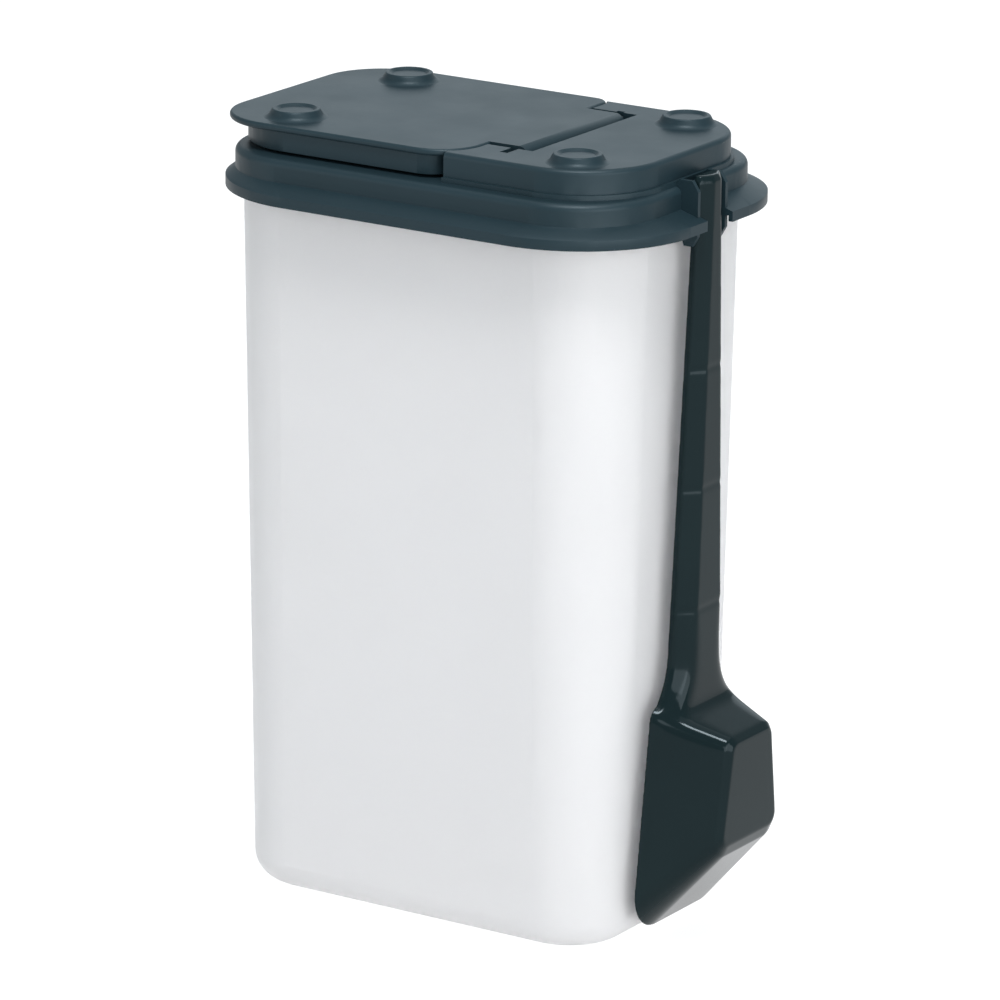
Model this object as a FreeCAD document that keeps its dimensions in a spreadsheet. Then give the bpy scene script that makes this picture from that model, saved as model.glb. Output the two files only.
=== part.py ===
import FreeCAD, Part
import math
import os
import Sketcher

# A pet food bin: a tapered translucent bin, a press-fit lid with a hinged pouring flap,
# and a scoop that clips to one end of the lid. Millimetres. +X points to the scoop's end,
# +Y across the bin, +Z up, and the origin is the centre of the bin's flat underside.

os.makedirs("parts", exist_ok=True)
doc = FreeCAD.newDocument("PetFoodBin")

# ---------------------------------------------------------------- driving dimensions

SIZES = {
    # how far an added piece sinks into its neighbour, and how far a cut runs past it
    "sink": 1.0,
    "past": 1.0,
    # bin
    "bin_height": 330.0,
    "rim_length": 201.0,
    "rim_width": 135.0,
    "rim_corner": 35.5,
    "foot_length": 190.5,
    "foot_width": 124.5,
    "foot_corner": 30.2,
    "foot_round": 13.0,
    "bin_taper": 0.9115,
    "bin_wall": 1.8,
    "bead_height": 4.0,
    "bead_proud": 0.8,
    "bead_below_rim": 1.0,
    # lid
    "lip_bottom": 317.8,
    "lip_band": 4.5,
    "lip_left": 111.0,
    "lip_right": 116.2,
    "lip_side": 80.5,
    "lip_corner": 56.5,
    "skirt_end": 104.0,
    "skirt_side": 71.0,
    "skirt_corner": 39.0,
    "flange_rise": 3.7,
    "shell": 2.0,
    "deck_top": 335.8,
    "deck_thick": 2.8,
    "shoulder_round": 3.2,
    "plug_gap": 0.8,
    "plug_depth": 11.0,
    "plug_wall": 1.6,
    "top_end": 100.0,
    "top_side": 62.5,
    "top_corner": 38.0,
    "top_front": 16.5,
    "top_level": 348.5,
    "top_round": 2.2,
    "step_width": 1.5,
    "step_height": 2.2,
    "notch_near_side": 38.5,
    "notch_far_side": 45.5,
    "notch_end": 46.0,
    "notch_floor": 338.0,
    "cavity_corner": 4.0,
    "ear_top": 3.0,
    "ear_side": 1.5,
    "recess_clear": 0.5,
    "snap_slot": 1.9,
    "slot_end": 1.0,
    "mouth_left": 88.0,
    "mouth_right": 8.0,
    "mouth_side": 50.0,
    "mouth_corner": 25.0,
    "upstand_height": 7.2,
    # flap
    "flap_left": 108.0,
    "flap_right": 22.5,
    "flap_side": 63.2,
    "flap_front_corner": 30.0,
    "flap_near_corner": 20.0,
    "flap_far_corner": 8.0,
    "flap_underside": 345.9,
    "flap_thick": 3.0,
    "flap_gap": 0.8,
    "flap_edge": 1.3,
    "flap_skirt_bottom": 337.4,
    "flap_skirt_left": 101.8,
    "flap_skirt_right": 14.5,
    "flap_skirt_side": 61.6,
    "flap_skirt_front": 35.0,
    "flap_skirt_rear": 12.0,
    "hinge_along": 37.0,
    "hinge_level": 343.9,
    "barrel_radius": 5.0,
    "barrel_near_side": 35.2,
    "barrel_far_side": 42.2,
    "pin_radius": 2.4,
    "pin_side": 48.5,
    "running_gap": 0.05,
    "seat_gap": 0.02,
    # studs
    "stud_along": 72.0,
    "stud_across": 44.0,
    "stud_foot": 14.0,
    "stud_rim": 10.7,
    "stud_dish": 9.0,
    "stud_height": 3.9,
    "stud_sink": 1.3,
    "stud_fillet": 3.4,
    "stud_flare": 0.5,
    "stud_lip": 0.7,
    "stud_lip_round": 0.9,
    "dish_slope": 1.6,
    "dish_depth": 1.0,
    # seals
    "seal_side_gap": 0.2,
    "seal_squash": 0.2,
    "flap_seal_wide": 1.0,
    # scoop
    "scoop_offset": 100.8,
    "scoop_tilt": 1.2147,
    "bowl_low": 6.0,
    "bowl_high": 108.0,
    "bowl_low_side": 38.6,
    "bowl_high_side": 29.0,
    "bowl_depth": 35.0,
    "face_low": 47.0,
    "face_high": 97.0,
    "face_low_side": 24.5,
    "face_high_side": 17.5,
    "bowl_low_round": 18.0,
    "bowl_high_round": 6.5,
    "face_low_round": 7.0,
    "face_high_round": 6.0,
    "face_edge": 2.5,
    "scoop_wall": 1.8,
    "handle_top": 340.5,
    "handle_top_side": 8.8,
    "handle_root": 128.0,
    "handle_root_side": 16.4,
    "flare_level": 104.0,
    "flare_radius": 32.0,
    "flare_sink": 4.0,
    "handle_top_front": 2.6,
    "handle_root_front": 10.4,
    "handle_top_rim": 3.2,
    "handle_root_rim": 3.7,
    "handle_top_depth": 6.8,
    "handle_root_depth": 10.8,
    "handle_chamfer": 2.5,
    "hollow_low": 114.0,
    "hollow_high": 333.0,
    "rib_thick": 1.6,
    "rib_drop": 0.8,
    # scoop bracket on the lid
    "bracket_gap": 10.2,
    "cheek_thick": 2.0,
    "cheek_end": 112.4,
    "cheek_top": 339.0,
    "cheek_tip": 310.5,
    "cheek_foot": 1.3,
    "cheek_slant": 4.5,
    "cheek_hook": 3.0,
}
FLARE_STEPS = 5
RIB_LEVELS = {"low_rib": 148.4, "middle_rib": 202.4, "high_rib": 255.4}

sheet = doc.addObject("Spreadsheet::Sheet", "Dims")
for row, (alias, length) in enumerate({**SIZES, **RIB_LEVELS}.items(), start=1):
    sheet.set(f"A{row}", alias)
    sheet.set(f"B{row}", str(length))
    sheet.setAlias(f"B{row}", alias)
doc.recompute()


class Size:
    """A length that carries its number and the spreadsheet formula that drives it."""

    def __init__(self, number, formula=None):
        self.number = float(number)
        self.formula = formula or repr(float(number))

    def __add__(self, other):
        other = as_size(other)
        return Size(self.number + other.number, f"({self.formula} + {other.formula})")

    def __sub__(self, other):
        other = as_size(other)
        return Size(self.number - other.number, f"({self.formula} - {other.formula})")

    def __mul__(self, factor):
        factor = as_size(factor)
        return Size(self.number * factor.number, f"({self.formula} * {factor.formula})")

    def __neg__(self):
        return Size(-self.number, f"(0 - {self.formula})")


def as_size(length):
    return length if isinstance(length, Size) else Size(length)


def size(alias):
    """The named cell of the sheet."""
    return Size(sheet.get(alias), f"Dims.{alias}")


ZERO = Size(0)

# ---------------------------------------------------------------- drawing helpers


def bind(feature, prop, length):
    feature.setExpression(prop, as_size(length).formula)


def new_body(name):
    body = doc.addObject("PartDesign::Body", name)
    body.Label = name
    return body


def plane_of(body, role):
    return next(item for item in body.Origin.OriginFeatures if item.Role == role)


def new_sketch(body, name, role="XY_Plane", along=ZERO, up=ZERO, out=ZERO):
    """A sketch on an origin plane, shifted along the plane's own x, y and normal."""
    sketch = body.newObject("Sketcher::SketchObject", name)
    sketch.AttachmentSupport = [(plane_of(body, role), "")]
    sketch.MapMode = "FlatFace"
    shift = [as_size(along), as_size(up), as_size(out)]
    corner = FreeCAD.Vector(*(item.number for item in shift))
    sketch.AttachmentOffset = FreeCAD.Placement(corner, FreeCAD.Rotation())
    for axis, item in zip("xyz", shift):
        bind(sketch, f"AttachmentOffset.Base.{axis}", item)
    return sketch


def arc_between(start, end, radius, left_turn):
    """The shorter arc of that radius from start to end, bending left or right."""
    half = (end - start) * 0.5
    height = math.sqrt(max(radius ** 2 - half.Length ** 2, 0.0))
    side = FreeCAD.Vector(-half.y, half.x, 0).normalize()
    towards = 1 if left_turn else -1
    centre = start + half + side * height * towards
    first, last = (start, end) if left_turn else (end, start)
    circle = Part.Circle(centre, FreeCAD.Vector(0, 0, 1), radius)
    angles = [math.atan2(p.y - centre.y, p.x - centre.x) for p in (first, last)]
    return Part.ArcOfCircle(circle, angles[0], angles[1])


def closed_path(sketch, steps):
    """Draw a closed path. A step is (x, y) or (x, y, radius, left_turn), where the
    radius makes an arc from that point to the next one."""
    corners = [(as_size(step[0]), as_size(step[1])) for step in steps]
    spots = [FreeCAD.Vector(x.number, y.number, 0) for x, y in corners]
    links = []
    for index, step in enumerate(steps):
        start = spots[index]
        end = spots[(index + 1) % len(steps)]
        if len(step) == 2:
            geometry = sketch.addGeometry(Part.LineSegment(start, end))
            links.append((geometry, 1, 2))
            continue
        radius = as_size(step[2])
        geometry = sketch.addGeometry(arc_between(start, end, radius.number, step[3]))
        links.append((geometry, 1, 2) if step[3] else (geometry, 2, 1))
        fixed = sketch.addConstraint(Sketcher.Constraint("Radius", geometry, radius.number))
        bind(sketch, f"Constraints[{fixed}]", radius)
    for index, (geometry, start_end, _) in enumerate(links):
        previous, _, previous_end = links[index - 1]
        joined = Sketcher.Constraint("Coincident", previous, previous_end, geometry, start_end)
        sketch.addConstraint(joined)
        for kind, length in zip(("DistanceX", "DistanceY"), corners[index]):
            rule = Sketcher.Constraint(kind, -1, 1, geometry, start_end, length.number)
            bind(sketch, f"Constraints[{sketch.addConstraint(rule)}]", length)


def rounded_box(sketch, left, right, side, left_corner, right_corner, far_corner=None):
    """A rectangle from -left to right and -side to side, with rounded corners. The far
    corner is the one at right and side, if it differs from the other right corner."""
    left, right, side = as_size(left), as_size(right), as_size(side)
    left_corner, right_corner = as_size(left_corner), as_size(right_corner)
    far_corner = far_corner or right_corner
    closed_path(sketch, [
        (left_corner - left, -side),
        (right - right_corner, -side, right_corner, True),
        (right, right_corner - side),
        (right, side - far_corner, far_corner, True),
        (right - far_corner, side),
        (left_corner - left, side, left_corner, True),
        (-left, side - left_corner),
        (-left, left_corner - side, left_corner, True),
    ])


def add_circle(sketch, radius):
    """A circle about the sketch's origin."""
    middle = FreeCAD.Vector(0, 0, 0)
    circle = sketch.addGeometry(Part.Circle(middle, FreeCAD.Vector(0, 0, 1), radius.number))
    sketch.addConstraint(Sketcher.Constraint("Coincident", circle, 3, -1, 1))
    fixed = sketch.addConstraint(Sketcher.Constraint("Radius", circle, radius.number))
    bind(sketch, f"Constraints[{fixed}]", radius)


def rectangle(sketch, left, right, low, high):
    closed_path(sketch, [(left, low), (right, low), (right, high), (left, high)])


def pad(body, name, sketch, length):
    feature = body.newObject("PartDesign::Pad", name)
    feature.Profile = sketch
    bind(feature, "Length", length)
    body.Tip = feature
    return feature


def pocket(body, name, sketch, length, reverse=False):
    """Cut against the sketch's normal, or along it, and check that something was cut."""
    doc.recompute()
    before = body.Shape.Volume
    feature = body.newObject("PartDesign::Pocket", name)
    feature.Profile = sketch
    feature.Reversed = reverse
    bind(feature, "Length", length)
    body.Tip = feature
    doc.recompute()
    if before - body.Shape.Volume < 1.0:
        raise RuntimeError(f"{name} cuts nothing")
    return feature


def loft(body, name, first, *others, kind="Additive"):
    feature = body.newObject(f"PartDesign::{kind}Loft", name)
    feature.Profile = first
    feature.Sections = list(others)
    feature.Ruled = True
    body.Tip = feature
    return feature


def edges_where(body, test):
    """Names of the body's edges whose middle point and bounds pass the test."""
    doc.recompute()
    names = []
    for index, edge in enumerate(body.Shape.Edges, start=1):
        middle = edge.valueAt(0.5 * (edge.FirstParameter + edge.LastParameter))
        if test(middle, edge.BoundBox):
            names.append(f"Edge{index}")
    return names


def round_edges(body, name, test, radius):
    names = edges_where(body, test)
    if not names:
        raise RuntimeError(f"{name} finds no edge")
    base = body.Tip
    feature = body.newObject("PartDesign::Fillet", name)
    feature.Base = (base, names)
    bind(feature, "Radius", radius)
    body.Tip = feature
    doc.recompute()
    return feature


def mirror_across_middle(body, name, feature):
    """Repeat a feature on the other side of the XZ plane."""
    mirrored = body.newObject("PartDesign::Mirrored", name)
    mirrored.Originals = [feature]
    mirrored.MirrorPlane = (plane_of(body, "XZ_Plane"), [""])
    body.Tip = mirrored
    doc.recompute()
    return mirrored


def flat_at(level, box, slack=0.01):
    return abs(box.ZMin - level) < slack and abs(box.ZMax - level) < slack


# ---------------------------------------------------------------- bin


def foot_ring(sketch, gap):
    """The bin's outline at its foot, drawn in by a gap."""
    corner = size("foot_corner") - gap
    end = size("foot_length") * 0.5 - gap
    rounded_box(sketch, end, end, size("foot_width") * 0.5 - gap, corner, corner)


def rim_ring(sketch, gap):
    """The bin's outline at its rim, drawn in by a gap."""
    corner = size("rim_corner") - gap
    end = size("rim_length") * 0.5 - gap
    rounded_box(sketch, end, end, size("rim_width") * 0.5 - gap, corner, corner)


def make_bin():
    """Tapered bin with a rounded foot and a snap bead round the rim."""
    body = new_body("bin_body")
    wall = size("bin_wall")
    foot = new_sketch(body, "FootOutline")
    foot_ring(foot, ZERO)
    block = pad(body, "TaperedBlock", foot, size("bin_height"))
    bind(block, "TaperAngle", size("bin_taper"))
    inside = new_sketch(body, "InsideOutline", out=wall)
    foot_ring(inside, wall)
    hollow = pocket(body, "Inside", inside, size("bin_height"), reverse=True)
    bind(hollow, "TaperAngle", size("bin_taper"))
    round_edges(body, "InsideRound", lambda spot, box: flat_at(SIZES["bin_wall"], box),
                size("foot_round") - wall)
    round_edges(body, "FootRound", lambda spot, box: flat_at(0.0, box), size("foot_round"))

    level = size("bin_height") - size("bead_height") - size("bead_below_rim")
    bead = new_sketch(body, "BeadOutline", out=level)
    rim_ring(bead, -size("bead_proud"))
    rim_ring(bead, wall * 0.5)
    pad(body, "SnapBead", bead, size("bead_height"))
    return body


# ---------------------------------------------------------------- studs


def add_studs(body, along, base_level):
    """Two dished stacking studs, one each side of the middle."""
    profile = new_sketch(body, "StudProfile", "XZ_Plane",
                         along, base_level, -size("stud_across"))
    height = size("stud_height")
    rim = size("stud_rim")
    closed_path(profile, [
        (ZERO, -size("stud_sink")),
        (size("stud_foot"), -size("stud_sink")),
        (size("stud_foot"), ZERO, size("stud_fillet"), False),
        (rim + size("stud_flare"), height * 0.6),
        (rim, height - size("stud_lip"), size("stud_lip_round"), True),
        (rim - size("stud_lip"), height),
        (size("stud_dish"), height),
        (size("stud_dish") - size("dish_slope"), height - size("dish_depth")),
        (ZERO, height - size("dish_depth")),
    ])
    stud = body.newObject("PartDesign::Revolution", "Stud")
    stud.Profile = profile
    stud.ReferenceAxis = (profile, ["V_Axis"])
    stud.Angle = 360.0
    body.Tip = stud
    doc.recompute()
    mirror_across_middle(body, "StudPair", stud)


# ---------------------------------------------------------------- lid


def lid_ring(sketch, gap):
    """The skirt's outline, drawn in by a gap."""
    end = size("skirt_end") - gap
    corner = size("skirt_corner") - gap
    rounded_box(sketch, end, end, size("skirt_side") - gap, corner, corner)


def lip_ring(sketch, gap):
    corner = size("lip_corner") - gap
    rounded_box(sketch, size("lip_left") - gap, size("lip_right") - gap,
                size("lip_side") - gap, corner, corner)


def plug_ring(sketch, gap):
    """The wall that goes inside the bin's rim, drawn in by a gap."""
    rim_ring(sketch, size("bin_wall") + size("plug_gap") + gap)


def mouth_ring(sketch, gap):
    """The pouring mouth, grown by a gap."""
    rounded_box(sketch, size("mouth_left") + gap, size("mouth_right") + gap,
                size("mouth_side") + gap, size("mouth_corner") + gap,
                size("flap_skirt_rear") + gap)


def flap_plan(sketch, gap):
    """The flap's outline, grown by a gap. Its two rear corners differ."""
    rounded_box(sketch, size("flap_left") + gap, size("flap_right") + gap,
                size("flap_side") + gap, size("flap_front_corner") + gap,
                size("flap_near_corner") + gap, size("flap_far_corner") + gap)


def rear_block_outline(sketch, gap):
    """The raised rear of the lid: square at the flap, round at the scoop's end."""
    end = size("top_end") + gap
    side = size("top_side") + gap
    corner = size("top_corner") + gap
    front = size("top_front")
    closed_path(sketch, [
        (front, -side),
        (end - corner, -side, corner, True),
        (end, corner - side),
        (end, side - corner, corner, True),
        (end - corner, side),
        (front, side),
    ])


def make_lid():
    body = new_body("lid")
    lip_top = size("lip_bottom") + size("lip_band")
    skirt_low = lip_top + size("flange_rise")

    wall = new_sketch(body, "SkirtOutline", out=size("lip_bottom"))
    lid_ring(wall, ZERO)
    pad(body, "SkirtBlock", wall, size("deck_top") - size("lip_bottom"))
    deck_level = SIZES["deck_top"]
    round_edges(body, "ShoulderRound", lambda spot, box: flat_at(deck_level, box),
                size("shoulder_round"))
    band = new_sketch(body, "LipOutline", out=size("lip_bottom"))
    lip_ring(band, ZERO)
    pad(body, "LipBand", band, size("lip_band"))
    flange_foot = new_sketch(body, "FlangeFoot", out=lip_top)
    lip_ring(flange_foot, ZERO)
    flange_head = new_sketch(body, "FlangeHead", out=skirt_low)
    lid_ring(flange_head, ZERO)
    loft(body, "FlangeSlope", flange_foot, flange_head)

    step = new_sketch(body, "StepOutline", out=size("deck_top") - size("sink"))
    rear_block_outline(step, size("step_width"))
    pad(body, "RearStep", step, size("step_height") + size("sink"))
    rear = new_sketch(body, "RearOutline", out=size("deck_top") - size("sink"))
    rear_block_outline(rear, ZERO)
    pad(body, "RearBlock", rear, size("top_level") - size("deck_top") + size("sink"))
    top_level = SIZES["top_level"]
    behind_front = SIZES["top_front"] + SIZES["sink"]
    round_edges(body, "RearRound", lambda spot, box: flat_at(top_level, box)
                and spot.x > behind_front, size("top_round"))

    deck_under = size("deck_top") - size("deck_thick")
    hollow = new_sketch(body, "RimSpace", out=deck_under)
    lid_ring(hollow, size("shell"))
    pocket(body, "RimHollow", hollow, deck_under - size("lip_bottom"))
    gutter = new_sketch(body, "LipHollowOutline", out=lip_top - size("shell"))
    lip_ring(gutter, size("shell"))
    lid_ring(gutter, ZERO)
    pocket(body, "LipHollow", gutter, size("lip_band") - size("shell"))
    plug = new_sketch(body, "PlugOutline", out=deck_under - size("plug_depth"))
    plug_ring(plug, ZERO)
    plug_ring(plug, size("plug_wall"))
    pad(body, "Plug", plug, size("plug_depth") + size("sink"))

    upstand = new_sketch(body, "UpstandOutline", out=size("deck_top") - size("sink"))
    mouth_ring(upstand, size("shell"))
    pad(body, "Upstand", upstand, size("upstand_height") + size("sink"))
    mouth = new_sketch(body, "MouthOutline", out=size("deck_top") + size("upstand_height"))
    mouth_ring(mouth, ZERO)
    pocket(body, "Mouth", mouth, size("upstand_height") + size("deck_thick") + size("past"))

    cavity = new_sketch(body, "RearCavityOutline", out=size("top_level") - size("shell"))
    inner_end = size("top_end") - size("shell")
    inner_side = size("top_side") - size("shell")
    rounded_box(cavity, -(size("notch_end") + size("shell")), inner_end, inner_side,
                size("cavity_corner"), size("top_corner") - size("shell"))
    pocket(body, "RearCavity", cavity,
           size("top_level") - size("shell") - deck_under + size("past"))

    core_top = size("notch_floor") - size("shell")
    under_notch = new_sketch(body, "NotchCoreOutline", out=core_top)
    rectangle(under_notch, size("top_front") + size("shell"), size("notch_end"),
              size("shell") - size("notch_near_side"),
              size("notch_far_side") - size("shell"))
    pocket(body, "NotchCore", under_notch, core_top - deck_under + size("past"))
    ear_under = size("top_level") - size("ear_top")
    ear_inner = size("pin_side") + size("ear_side")
    ear_cores = new_sketch(body, "EarCoreOutline", out=ear_under)
    for low, high in ((-inner_side, -ear_inner), (ear_inner, inner_side)):
        rectangle(ear_cores, size("flap_right") + size("ear_top"), size("notch_end"),
                  low, high)
    pocket(body, "EarCores", ear_cores, ear_under - deck_under + size("past"))

    above = size("top_level") + size("past")
    notch = new_sketch(body, "NotchOutline", out=above)
    rectangle(notch, size("top_front") - size("past"), size("notch_end"),
              -size("notch_near_side"), size("notch_far_side"))
    pocket(body, "Notch", notch, above - size("notch_floor"))
    recess = new_sketch(body, "FlapRecessOutline", out=above)
    flap_plan(recess, size("flap_gap"))
    pocket(body, "FlapRecess", recess, above - size("flap_underside") + size("recess_clear"))

    bore = new_sketch(body, "PinBoreOutline", "XZ_Plane", size("hinge_along"),
                      size("hinge_level"), -size("pin_side"))
    add_circle(bore, size("pin_radius") + size("seat_gap"))
    pocket(body, "PinBore", bore, size("pin_side") * 2.0, reverse=True)
    slot = new_sketch(body, "SnapSlotOutline", out=above)
    slot_side = size("pin_side") - size("slot_end")
    rectangle(slot, size("hinge_along") - size("snap_slot"),
              size("hinge_along") + size("snap_slot"), -slot_side, slot_side)
    pocket(body, "SnapSlots", slot, above - size("hinge_level"))

    add_bracket(body)
    add_studs(body, size("stud_along"), size("top_level"))
    return body


def add_bracket(body):
    """A slot through the lip, and two cheeks that hold the scoop's handle."""
    gap = size("bracket_gap")
    slot = new_sketch(body, "ScoopSlotOutline", out=size("deck_top"))
    rectangle(slot, size("skirt_end"), size("lip_right") + size("past"), -gap, gap)
    pocket(body, "ScoopSlot", slot, size("deck_top") - size("lip_bottom") + size("past"))
    cheek = new_sketch(body, "CheekProfile", "XZ_Plane",
                       out=-(gap + size("cheek_thick")))
    root = size("skirt_end") - size("sink")
    end, top, tip = size("cheek_end"), size("cheek_top"), size("cheek_tip")
    foot, slant = size("cheek_foot"), size("cheek_slant")
    hook = size("cheek_hook")
    closed_path(cheek, [
        (root + foot, tip + slant),
        (root + foot * 2.0, tip),
        (end - foot * 2.0, tip),
        (end, tip + slant),
        (end, top - slant),
        (end - hook, top),
        (root, top),
        (root - hook, top - hook),
        (root - hook, size("deck_top") - size("sink")),
        (root, size("deck_top") - size("sink") - hook),
        (root, size("lip_bottom") + size("sink")),
        (root + foot, size("lip_bottom") + size("sink")),
    ])
    first = pad(body, "Cheek", cheek, size("cheek_thick"))
    mirror_across_middle(body, "CheekPair", first)


def make_lid_seal():
    """Flat ring between the lid's deck and the bin's rim."""
    body = new_body("lid_seal")
    low = size("bin_height") + size("seal_squash")
    ring = new_sketch(body, "SealOutline", out=low)
    lid_ring(ring, size("shell") + size("seal_side_gap"))
    plug_ring(ring, -size("seal_side_gap"))
    pad(body, "SealRing", ring, size("deck_top") - size("deck_thick") - low)
    return body


# ---------------------------------------------------------------- flap


def make_flap():
    """Pouring flap: a plate with a skirt below it, a hinge tongue and a barrel."""
    body = new_body("flap")
    under = size("flap_underside")
    plate = new_sketch(body, "PlateOutline", out=under)
    flap_plan(plate, ZERO)
    pad(body, "Plate", plate, size("flap_thick"))
    round_edges(body, "PlateEdge", lambda spot, box: flat_at(spot.z, box),
                size("flap_edge"))

    skirt = new_sketch(body, "FlapSkirtOutline", out=size("flap_skirt_bottom"))
    for inset in (ZERO, size("shell")):
        rounded_box(skirt, size("flap_skirt_left") - inset, size("flap_skirt_right") - inset,
                    size("flap_skirt_side") - inset, size("flap_skirt_front") - inset,
                    size("flap_skirt_rear") - inset)
    pad(body, "FlapSkirt", skirt, under - size("flap_skirt_bottom") + size("sink"))

    tongue = new_sketch(body, "TongueOutline", out=under)
    near, far = size("barrel_near_side"), size("barrel_far_side")
    rectangle(tongue, size("flap_skirt_right"), size("hinge_along"), -near, far)
    pad(body, "Tongue", tongue, size("flap_thick"))

    barrel = new_sketch(body, "BarrelOutline", "XZ_Plane", size("hinge_along"),
                        size("hinge_level"), -far)
    add_circle(barrel, size("barrel_radius"))
    pad(body, "Barrel", barrel, near + far)
    bore = new_sketch(body, "BarrelBoreOutline", "XZ_Plane", size("hinge_along"),
                      size("hinge_level"), -(far + size("past")))
    add_circle(bore, size("pin_radius") + size("running_gap"))
    pocket(body, "BarrelBore", bore, near + far + size("past") * 2.0, reverse=True)
    add_studs(body, -size("stud_along"), under + size("flap_thick"))
    return body


def make_flap_seal():
    """Ring under the flap that closes on the mouth's upstand."""
    body = new_body("flap_seal")
    low = size("deck_top") + size("upstand_height") + size("seal_squash")
    ring = new_sketch(body, "FlapSealOutline", out=low)
    mouth_ring(ring, size("shell") + size("flap_seal_wide"))
    mouth_ring(ring, -size("flap_seal_wide"))
    pad(body, "FlapSealRing", ring, size("flap_underside") - low)
    return body


def make_hinge_pin():
    pin = doc.addObject("Part::Cylinder", "hinge_pin")
    pin.Label = "hinge_pin"
    bind(pin, "Radius", size("pin_radius"))
    bind(pin, "Height", size("pin_side") * 2.0)
    bind(pin, "Placement.Base.x", size("hinge_along"))
    bind(pin, "Placement.Base.y", size("pin_side"))
    bind(pin, "Placement.Base.z", size("hinge_level"))
    bind(pin, "Placement.Rotation.Axis.x", Size(1))
    bind(pin, "Placement.Rotation.Axis.y", ZERO)
    bind(pin, "Placement.Rotation.Axis.z", ZERO)
    bind(pin, "Placement.Rotation.Angle", Size(90))
    return pin


# ---------------------------------------------------------------- scoop


def bowl_outline(sketch, low, high, low_side, high_side, low_round, high_round):
    """A trapezium, wider below, with rounded corners that meet its sides smoothly."""
    lean = math.atan2(low_side.number - high_side.number, high.number - low.number)
    low_set = low_round * math.tan(math.pi / 4 + lean / 2)
    high_set = high_round * math.tan(math.pi / 4 - lean / 2)
    low_end = (low_side - low_set * math.sin(lean), low + low_set * math.cos(lean))
    high_end = (high_side + high_set * math.sin(lean), high - high_set * math.cos(lean))
    closed_path(sketch, [
        (low_set - low_side, low),
        (low_side - low_set, low, low_round, True),
        low_end,
        (*high_end, high_round, True),
        (high_side - high_set, high),
        (high_set - high_side, high, high_round, True),
        (-high_end[0], high_end[1]),
        (-low_end[0], low_end[1], low_round, True),
    ])


def bowl_section(body, name, out, inset):
    """The bowl's outline at some depth from its mouth, drawn in by a wall's thickness."""
    reach = out.number / SIZES["bowl_depth"]
    slope = math.hypot(1.0, (SIZES["face_low"] - SIZES["bowl_low"]) / SIZES["bowl_depth"])

    def between(first, second):
        return size(first) + (size(second) - size(first)) * reach

    sketch = new_sketch(body, name, "YZ_Plane", out=out)
    bowl_outline(sketch, between("bowl_low", "face_low") + inset * slope,
                 between("bowl_high", "face_high") - inset,
                 between("bowl_low_side", "face_low_side") - inset,
                 between("bowl_high_side", "face_high_side") - inset,
                 between("bowl_low_round", "face_low_round") - inset,
                 between("bowl_high_round", "face_high_round") - inset)
    return sketch


def flare_spread(drop):
    """How far the handle's sides stand out, some way down the flare's round."""
    radius = size("flare_radius")
    number = radius.number - math.sqrt(radius.number ** 2 - drop.number ** 2)
    formula = f"({radius.formula} - sqrt({radius.formula}^2 - {drop.formula}^2))"
    return Size(number, formula)


def handle_section(body, name, level, inset=ZERO, back=ZERO, spread=ZERO):
    """The handle's outline at some level: a flat back, a short rim on each side, and
    bevels up to a narrow front. The inset draws it in by a wall's thickness."""
    reach = (SIZES["handle_top"] - level.number) / (SIZES["handle_top"] - SIZES["handle_root"])

    def between(first, second):
        return size(first) + (size(second) - size(first)) * reach

    side = between("handle_top_side", "handle_root_side") - inset + spread
    front = between("handle_top_front", "handle_root_front") - inset * 0.5 + spread
    rim = between("handle_top_rim", "handle_root_rim") - inset * 0.5
    depth = between("handle_top_depth", "handle_root_depth") - inset
    sketch = new_sketch(body, name, out=level)
    closed_path(sketch, [(back, -side), (rim, -side), (depth, -front),
                         (depth, front), (rim, side), (back, side)])
    return sketch


def add_handle(body):
    """A bevelled bar, hollow at the back, with cross webs and a flared root."""
    top = size("handle_top")
    wall = size("scoop_wall")
    chamfer = size("handle_chamfer")
    fall = size("handle_root") - size("flare_level")
    foot = handle_section(body, "HandleFoot", size("flare_level") - size("flare_sink"),
                          spread=flare_spread(fall))
    stations = []
    for step in range(FLARE_STEPS, 0, -1):
        drop = fall * (step / FLARE_STEPS)
        stations.append(handle_section(body, f"Flare{step}", size("handle_root") - drop,
                                       spread=flare_spread(drop)))
    root = handle_section(body, "HandleRoot", size("handle_root"))
    neck = handle_section(body, "HandleNeck", top - chamfer)
    tip = handle_section(body, "HandleTip", top, chamfer * 0.5)
    loft(body, "HandleBar", foot, *stations, root, neck, tip)

    hollow_low = handle_section(body, "HollowLow", size("hollow_low"), wall, -wall)
    hollow_high = handle_section(body, "HollowHigh", size("hollow_high"), wall, -wall)
    loft(body, "HandleHollow", hollow_low, hollow_high, kind="Subtractive")
    for alias in RIB_LEVELS:
        web = handle_section(body, f"{alias}_outline", size(alias), wall * 0.5,
                             size("rib_drop"))
        pad(body, f"{alias}_web", web, size("rib_thick"))


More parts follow.
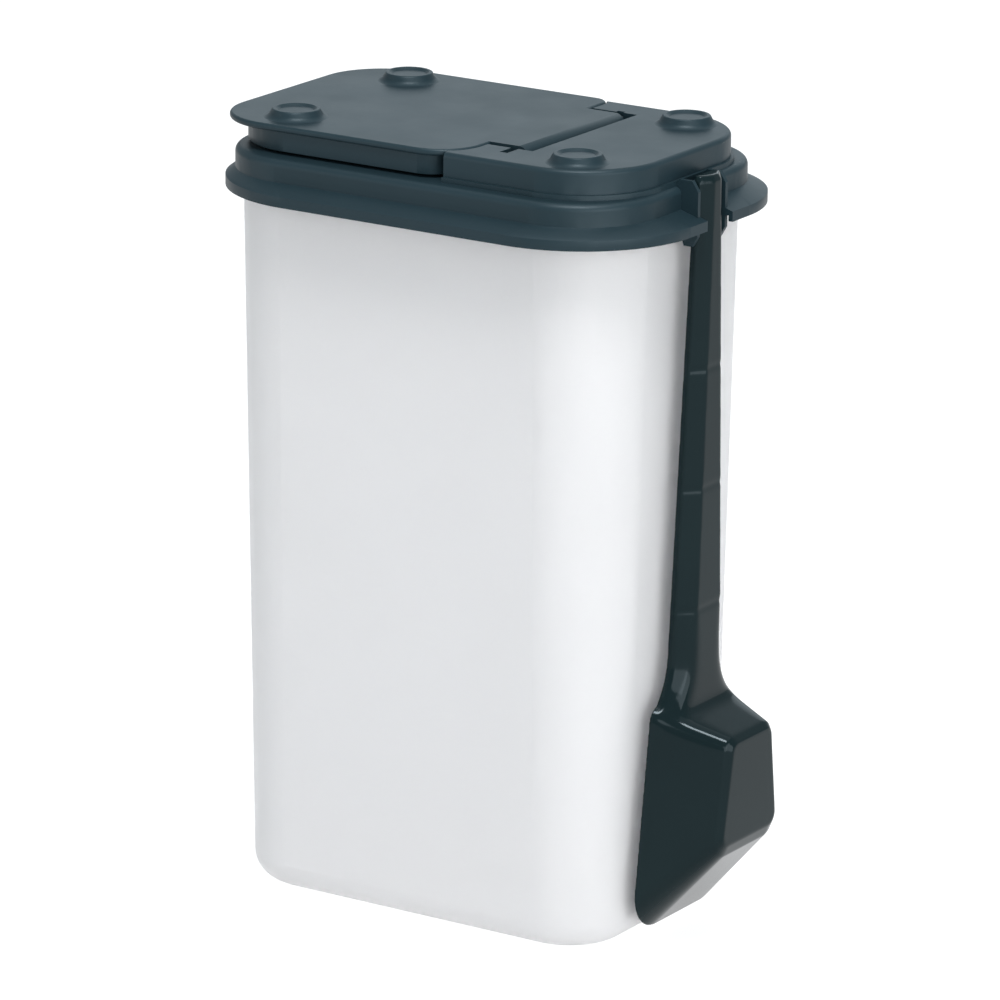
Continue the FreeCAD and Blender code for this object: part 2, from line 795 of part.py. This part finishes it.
def make_scoop():
    """One moulding: a deep bowl whose mouth faces the bin, and a bevelled handle. It is
    drawn upright with the mouth in the YZ plane, and then leans with the bin's end."""
    body = new_body("scoop")
    depth = size("bowl_depth")
    edge = size("face_edge")
    mouth = bowl_section(body, "BowlMouth", ZERO, ZERO)
    loft(body, "BowlBlock", mouth, bowl_section(body, "BowlShoulder", depth - edge, ZERO),
         bowl_section(body, "BowlFace", depth, edge * 0.7))
    doc.recompute()
    add_handle(body)
    wall = size("scoop_wall")
    inner_mouth = bowl_section(body, "HollowMouth", ZERO, wall)
    inner_face = bowl_section(body, "HollowFace", depth - wall, wall)
    loft(body, "BowlHollow", inner_mouth, inner_face, kind="Subtractive")
    doc.recompute()

    bind(body, "Placement.Base.x", size("scoop_offset"))
    bind(body, "Placement.Rotation.Axis.x", ZERO)
    bind(body, "Placement.Rotation.Axis.y", Size(1))
    bind(body, "Placement.Rotation.Axis.z", ZERO)
    bind(body, "Placement.Rotation.Angle", size("scoop_tilt"))
    return body


# ---------------------------------------------------------------- build, check, write

parts = [make_bin(), make_lid(), make_lid_seal(), make_flap(), make_flap_seal(),
         make_hinge_pin(), make_scoop()]
doc.recompute()

for item in doc.Objects:
    if "Invalid" in item.State or "Error" in item.State:
        raise RuntimeError(f"{item.Label} failed: {item.State}")
for part in parts:
    if part.Shape.isNull() or not part.Shape.isValid():
        raise RuntimeError(f"{part.Label} has no valid shape")
    if len(part.Shape.Solids) != 1:
        raise RuntimeError(f"{part.Label} is {len(part.Shape.Solids)} solids")

for part in parts:
    part.Shape.exportStep(f"parts/{part.Label}.step")
    box = part.Shape.BoundBox
    print(f"{part.Label}: {part.Shape.Volume / 1000:.1f} cm3, x {box.XMin:.1f}..{box.XMax:.1f},"
          f" y {box.YMin:.1f}..{box.YMax:.1f}, z {box.ZMin:.1f}..{box.ZMax:.1f}")
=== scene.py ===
import math

import bpy
from mathutils import Matrix, Vector


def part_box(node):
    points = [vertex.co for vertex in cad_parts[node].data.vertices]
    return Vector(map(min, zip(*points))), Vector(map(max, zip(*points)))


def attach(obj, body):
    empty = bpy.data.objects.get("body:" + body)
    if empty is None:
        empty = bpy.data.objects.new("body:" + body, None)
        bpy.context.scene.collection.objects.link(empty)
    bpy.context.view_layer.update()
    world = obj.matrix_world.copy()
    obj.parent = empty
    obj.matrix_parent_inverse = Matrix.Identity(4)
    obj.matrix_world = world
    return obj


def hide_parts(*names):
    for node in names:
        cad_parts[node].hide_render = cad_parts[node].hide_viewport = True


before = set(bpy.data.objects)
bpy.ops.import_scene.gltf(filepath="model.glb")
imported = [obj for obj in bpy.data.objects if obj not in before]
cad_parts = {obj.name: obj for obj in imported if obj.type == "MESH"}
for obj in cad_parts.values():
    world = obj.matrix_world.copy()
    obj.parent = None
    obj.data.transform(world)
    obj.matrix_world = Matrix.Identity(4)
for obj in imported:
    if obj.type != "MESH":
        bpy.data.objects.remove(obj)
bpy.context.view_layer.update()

# The pet food bin in metres, in the CAD's frame: +X towards the scoop's end, +Z up.

scene = bpy.context.scene
scene.view_settings.view_transform = "Standard"

# ---------------------------------------------------------------- camera


def place_camera(azimuth, elevation, roll, distance, target, lens):
    turn = math.radians(azimuth)
    rise = math.radians(elevation)
    back = Vector((math.sin(turn) * math.cos(rise), -math.cos(turn) * math.cos(rise),
                   math.sin(rise)))
    right = Vector((math.cos(turn), math.sin(turn), 0))
    up = back.cross(right)
    lean = math.radians(roll)
    side = right * math.cos(lean) + up * math.sin(lean)
    over = up * math.cos(lean) - right * math.sin(lean)
    aim = Vector((0, 0, target[2])) + side * target[0] + over * target[1]
    data = bpy.data.cameras.new("camera")
    data.lens = lens
    camera = bpy.data.objects.new("camera", data)
    facing = Matrix((side, over, back)).transposed()
    camera.matrix_world = Matrix.Translation(aim + back * distance) @ facing.to_4x4()
    scene.collection.objects.link(camera)
    scene.camera = camera


place_camera(azimuth=32.77, elevation=16.27, roll=0.59, distance=2.9307,
             target=(0.00576, 0.02645, 0.150), lens=239.5)

# ---------------------------------------------------------------- stage and light

FLOOR_REACH = 9.0
COOL_LIGHT = (0.84, 0.94, 1.0)


def make_floor():
    """A flat square sheet under the bin."""
    mesh = bpy.data.meshes.new("floor")
    corners = [(x * FLOOR_REACH, y * FLOOR_REACH, 0)
               for x, y in ((-1, -1), (1, -1), (1, 1), (-1, 1))]
    mesh.from_pydata(corners, [], [(0, 1, 2, 3)])
    floor = bpy.data.objects.new("floor", mesh)
    scene.collection.objects.link(floor)
    return floor


def area_light(name, place, target, width, height, power, colour=(1, 1, 1)):
    """A rectangular lamp in metres and watts that faces the target."""
    data = bpy.data.lights.new(name, "AREA")
    data.color = colour
    data.shape = "RECTANGLE"
    data.size = width
    data.size_y = height
    data.energy = power
    lamp = bpy.data.objects.new(name, data)
    away = Vector(place) - Vector(target)
    lamp.rotation_euler = away.to_track_quat("Z", "Y").to_euler()
    lamp.location = place
    scene.collection.objects.link(lamp)


def make_world(lighting, colour):
    """A soft cool light from all round."""
    world = bpy.data.worlds.new("studio")
    world.use_nodes = True
    scene.world = world
    background = world.node_tree.nodes["Background"]
    background.inputs["Color"].default_value = (*colour, 1)
    background.inputs["Strength"].default_value = lighting


floor = make_floor()
make_world(lighting=0.62, colour=COOL_LIGHT)
area_light("softbox", (0.45, -0.62, 2.1), (0.12, 0, 0.1), width=0.80, height=0.50, power=46)
area_light("overhead", (0.2, 0.2, 2.4), (0, 0, 0), width=2.2, height=2.2, power=14)
area_light("front", (1.8, -2.1, 0.7), (0, 0, 0.17), width=1.8, height=1.4, power=34)
area_light("left", (-1.9, -1.9, 0.8), (0, 0, 0.15), width=1.6, height=1.6, power=14)
area_light("right", (2.5, -0.9, 0.9), (0, 0, 0.15), width=1.8, height=1.8, power=50)
area_light("behind", (-1.1, 2.6, 1.3), (0, 0, 0.3), width=2.4, height=1.0, power=8,
           colour=COOL_LIGHT)

# ---------------------------------------------------------------- materials

COOL_SHEEN = (0.78, 0.92, 1.0, 1)
FLOOR_GLOW = 0.86
# The span that a noise value mostly stays in, and the depth of the surface grain.
NOISE_LOW = 0.3
NOISE_HIGH = 0.7
GRAIN_DEPTH = 0.0001
GRAIN_DETAIL = 2.0
# Noise scales for colour drift, for patches of gloss, and for the grain.
MOULDED_DRIFT, MOULDED_PATCHES, MOULDED_GRAIN = 14.0, 45.0, 1400.0
BIN_DRIFT, BIN_PATCHES, BIN_GRAIN = 6.0, 30.0, 900.0
FLOOR_DRIFT, FLOOR_PATCHES = 2.0, 8.0


def new_material(name):
    """A material with its node tree and its main shader."""
    material = bpy.data.materials.new(name)
    material.use_nodes = True
    tree = material.node_tree
    return material, tree, tree.nodes["Principled BSDF"]


def noise(tree, scale, detail=3.0, roughness=0.5):
    """A noise value fixed to the object, finer as the scale grows."""
    place = tree.nodes.get("Texture Coordinate")
    if place is None:
        place = tree.nodes.new("ShaderNodeTexCoord")
        place.name = "Texture Coordinate"
    texture = tree.nodes.new("ShaderNodeTexNoise")
    texture.inputs["Scale"].default_value = scale
    texture.inputs["Detail"].default_value = detail
    texture.inputs["Roughness"].default_value = roughness
    tree.links.new(place.outputs["Object"], texture.inputs["Vector"])
    return texture.outputs["Fac"]


def spread(tree, value, low, high):
    """A noise value stretched between two numbers."""
    node = tree.nodes.new("ShaderNodeMapRange")
    node.inputs["From Min"].default_value = NOISE_LOW
    node.inputs["From Max"].default_value = NOISE_HIGH
    node.inputs["To Min"].default_value = low
    node.inputs["To Max"].default_value = high
    tree.links.new(value, node.inputs["Value"])
    return node.outputs["Result"]


def between(tree, value, first, second):
    """A colour between two colours, by a noise value."""
    node = tree.nodes.new("ShaderNodeMix")
    node.data_type = "RGBA"
    node.inputs["A"].default_value = (*first, 1)
    node.inputs["B"].default_value = (*second, 1)
    tree.links.new(spread(tree, value, 0, 1), node.inputs["Factor"])
    return node.outputs["Result"]


def add_grain(tree, shader, scale, strength):
    """A fine surface grain."""
    node = tree.nodes.new("ShaderNodeBump")
    node.inputs["Strength"].default_value = strength
    node.inputs["Distance"].default_value = GRAIN_DEPTH
    tree.links.new(noise(tree, scale, GRAIN_DETAIL), node.inputs["Height"])
    tree.links.new(node.outputs["Normal"], shader.inputs["Normal"])


def moulded_plastic(name, dark, light, rough, rough_more, grain, ior=1.36):
    """A moulded plastic: slow colour drift, patchy gloss and a fine grain."""
    material, tree, shader = new_material(name)
    shader.inputs["Specular Tint"].default_value = COOL_SHEEN
    tint = between(tree, noise(tree, MOULDED_DRIFT), dark, light)
    tree.links.new(tint, shader.inputs["Base Color"])
    gloss = spread(tree, noise(tree, MOULDED_PATCHES), rough, rough_more)
    tree.links.new(gloss, shader.inputs["Roughness"])
    shader.inputs["IOR"].default_value = ior
    add_grain(tree, shader, MOULDED_GRAIN, grain)
    return material


def translucent_plastic():
    """Natural polypropylene: milky, satin, light passes through it."""
    material, tree, shader = new_material("translucent_polypropylene")
    tint = between(tree, noise(tree, BIN_DRIFT), (0.94, 0.935, 0.95), (0.925, 0.918, 0.93))
    tree.links.new(tint, shader.inputs["Base Color"])
    gloss = spread(tree, noise(tree, BIN_PATCHES), 0.30, 0.38)
    tree.links.new(gloss, shader.inputs["Roughness"])
    shader.inputs["IOR"].default_value = 1.49
    shader.inputs["Transmission Weight"].default_value = 0.35
    shader.inputs["Subsurface Weight"].default_value = 0.85
    shader.inputs["Subsurface Radius"].default_value = (1, 1, 1)
    shader.inputs["Subsurface Scale"].default_value = 0.025
    add_grain(tree, shader, BIN_GRAIN, 0.05)
    return material


def floor_paint():
    """Lit mostly from within, like a light table, so that it is white and shadows stay
    faint."""
    material, tree, shader = new_material("floor_paint")
    shader.inputs["Emission Color"].default_value = (1, 1, 1, 1)
    shader.inputs["Emission Strength"].default_value = FLOOR_GLOW
    tint = between(tree, noise(tree, FLOOR_DRIFT), (0.22, 0.22, 0.222), (0.21, 0.21, 0.212))
    tree.links.new(tint, shader.inputs["Base Color"])
    gloss = spread(tree, noise(tree, FLOOR_PATCHES), 0.85, 0.95)
    tree.links.new(gloss, shader.inputs["Roughness"])
    return material


def dress(thing, material):
    """Gives a thing one material all over."""
    for slot in thing.material_slots:
        slot.material = material
    if not thing.material_slots:
        thing.data.materials.append(material)


matt_lid = moulded_plastic("matt_lid_plastic", (0.006, 0.014, 0.018), (0.007, 0.016, 0.021),
                           rough=0.42, rough_more=0.46, grain=0.15, ior=1.30)
gloss_scoop = moulded_plastic("gloss_scoop_plastic", (0.003, 0.007, 0.008),
                              (0.004, 0.009, 0.010),
                              rough=0.10, rough_more=0.12, grain=0.02, ior=1.22)
pin_plastic = moulded_plastic("pin_plastic", (0.020, 0.022, 0.024), (0.028, 0.030, 0.032),
                              rough=0.30, rough_more=0.40, grain=0.10)
seal_rubber = moulded_plastic("seal_rubber", (0.030, 0.032, 0.034), (0.045, 0.047, 0.050),
                              rough=0.60, rough_more=0.75, grain=0.30)
clear_bin = translucent_plastic()

finishes = {"bin_body": clear_bin, "lid": matt_lid, "flap": matt_lid,
            "lid_seal": seal_rubber, "flap_seal": seal_rubber,
            "hinge_pin": pin_plastic, "scoop": gloss_scoop}
for name, finish in finishes.items():
    dress(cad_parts[name], finish)
dress(floor, floor_paint())

# ---------------------------------------------------------------- edges of the mouldings

WELD_REACH = 1e-6
EDGE_SEGMENTS = 3
SHARP_ANGLE = math.radians(40)


def soften_edges(node, width):
    """Rounds a moulding's sharp edges with a small bevel."""
    weld = node.modifiers.new("weld", "WELD")
    weld.merge_threshold = WELD_REACH
    bevel = node.modifiers.new("soft_edges", "BEVEL")
    bevel.width = width
    bevel.segments = EDGE_SEGMENTS
    bevel.limit_method = "ANGLE"
    bevel.angle_limit = SHARP_ANGLE
    bevel.harden_normals = True


for name, width in {"lid": 0.0005, "flap": 0.0004, "bin_body": 0.0003}.items():
    soften_edges(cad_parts[name], width)

# ---------------------------------------------------------------- scoop

SCOOP_TILT = math.radians(1.2147)
SCOOP_EDGE = 0.0007
SCOOP_VOXEL = 0.0005
# The webs behind the handle, along it: where each starts, and how thick they are.
RIB_LEVELS = (0.1484, 0.2024, 0.2554)
RIB_THICK = 0.0016
# The sink marks: their depth, how far they reach in webs, and what faces outwards.
SINK_DEPTH = 0.00024
SINK_REACH = 3
FACES_OUT = 0.2
# The blend at the handle's root: where it is strongest, and how it fades from there.
BLEND_LEVEL = 0.106
BLEND_OUT = 0.017
BLEND_REACH = 0.020
BLEND_STRETCH_UP = 0.42
BLEND_BACK = 0.003
BLEND_BACK_FADE = 0.004
RELAX_ALL = 10
RELAX_ROOT = 340
RELAX_STEP = 0.5
LEAST_WEIGHT = 0.01


def baked(thing, name):
    """A new object from a thing's mesh with its modifiers applied."""
    bpy.context.view_layer.update()
    graph = bpy.context.evaluated_depsgraph_get()
    mesh = bpy.data.meshes.new_from_object(thing.evaluated_get(graph))
    mesh.name = name
    piece = bpy.data.objects.new(name, mesh)
    scene.collection.objects.link(piece)
    return piece


def smooth(piece, rounds, weights=None):
    """Relaxes the mesh, everywhere or by a weight for each vertex."""
    relax = piece.modifiers.new("relax", "SMOOTH")
    relax.factor = RELAX_STEP
    relax.iterations = rounds
    if weights is not None:
        group = piece.vertex_groups.new(name=f"relax_{len(piece.vertex_groups)}")
        for index, weight in enumerate(weights):
            if weight > LEAST_WEIGHT:
                group.add([index], weight, "REPLACE")
        relax.vertex_group = group.name


def make_scoop():
    """The scoop with its edges and its handle's root blended smoothly, and the faint
    sink marks that the webs leave on the handle's outside."""
    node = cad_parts["scoop"]
    rough = bpy.data.objects.new("scoop_rough", node.data.copy())
    upright = Matrix.Rotation(-SCOOP_TILT, 4, "Y")
    rough.data.transform(upright)
    scene.collection.objects.link(rough)
    soften_edges(rough, SCOOP_EDGE)
    remesh = rough.modifiers.new("remesh", "REMESH")
    remesh.mode = "VOXEL"
    remesh.voxel_size = SCOOP_VOXEL
    piece = baked(rough, "scoop_moulding")
    piece.data.transform(upright.inverted())
    bpy.data.objects.remove(rough)

    low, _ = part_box("scoop")
    weights = []
    for vertex in piece.data.vertices:
        out = vertex.co.x - low.x
        rise = vertex.co.z - BLEND_LEVEL
        away = math.hypot(out - BLEND_OUT, rise * (BLEND_STRETCH_UP if rise > 0 else 1.0))
        front = min(max((out - BLEND_BACK) / BLEND_BACK_FADE, 0.0), 1.0)
        weights.append(front * max(0.0, 1 - away / BLEND_REACH))
    smooth(piece, RELAX_ALL)
    smooth(piece, RELAX_ROOT, weights)
    blended = baked(piece, "scoop_moulding")
    bpy.data.objects.remove(piece)
    blended.name = "scoop_moulding"
    mark_sinks(blended)
    for polygon in blended.data.polygons:
        polygon.use_smooth = True
    dress(blended, gloss_scoop)
    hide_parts("scoop")
    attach(blended, "scoop")


def mark_sinks(piece):
    """Shallow grooves on the outside of the handle, one opposite each web."""
    for vertex in piece.data.vertices:
        if vertex.normal.x < FACES_OUT:
            continue
        along = vertex.co.z / math.cos(SCOOP_TILT)
        for level in RIB_LEVELS:
            reach = (along - level - RIB_THICK / 2) / RIB_THICK
            if abs(reach) < SINK_REACH:
                vertex.co -= vertex.normal * SINK_DEPTH * math.exp(-reach * reach)


make_scoop()
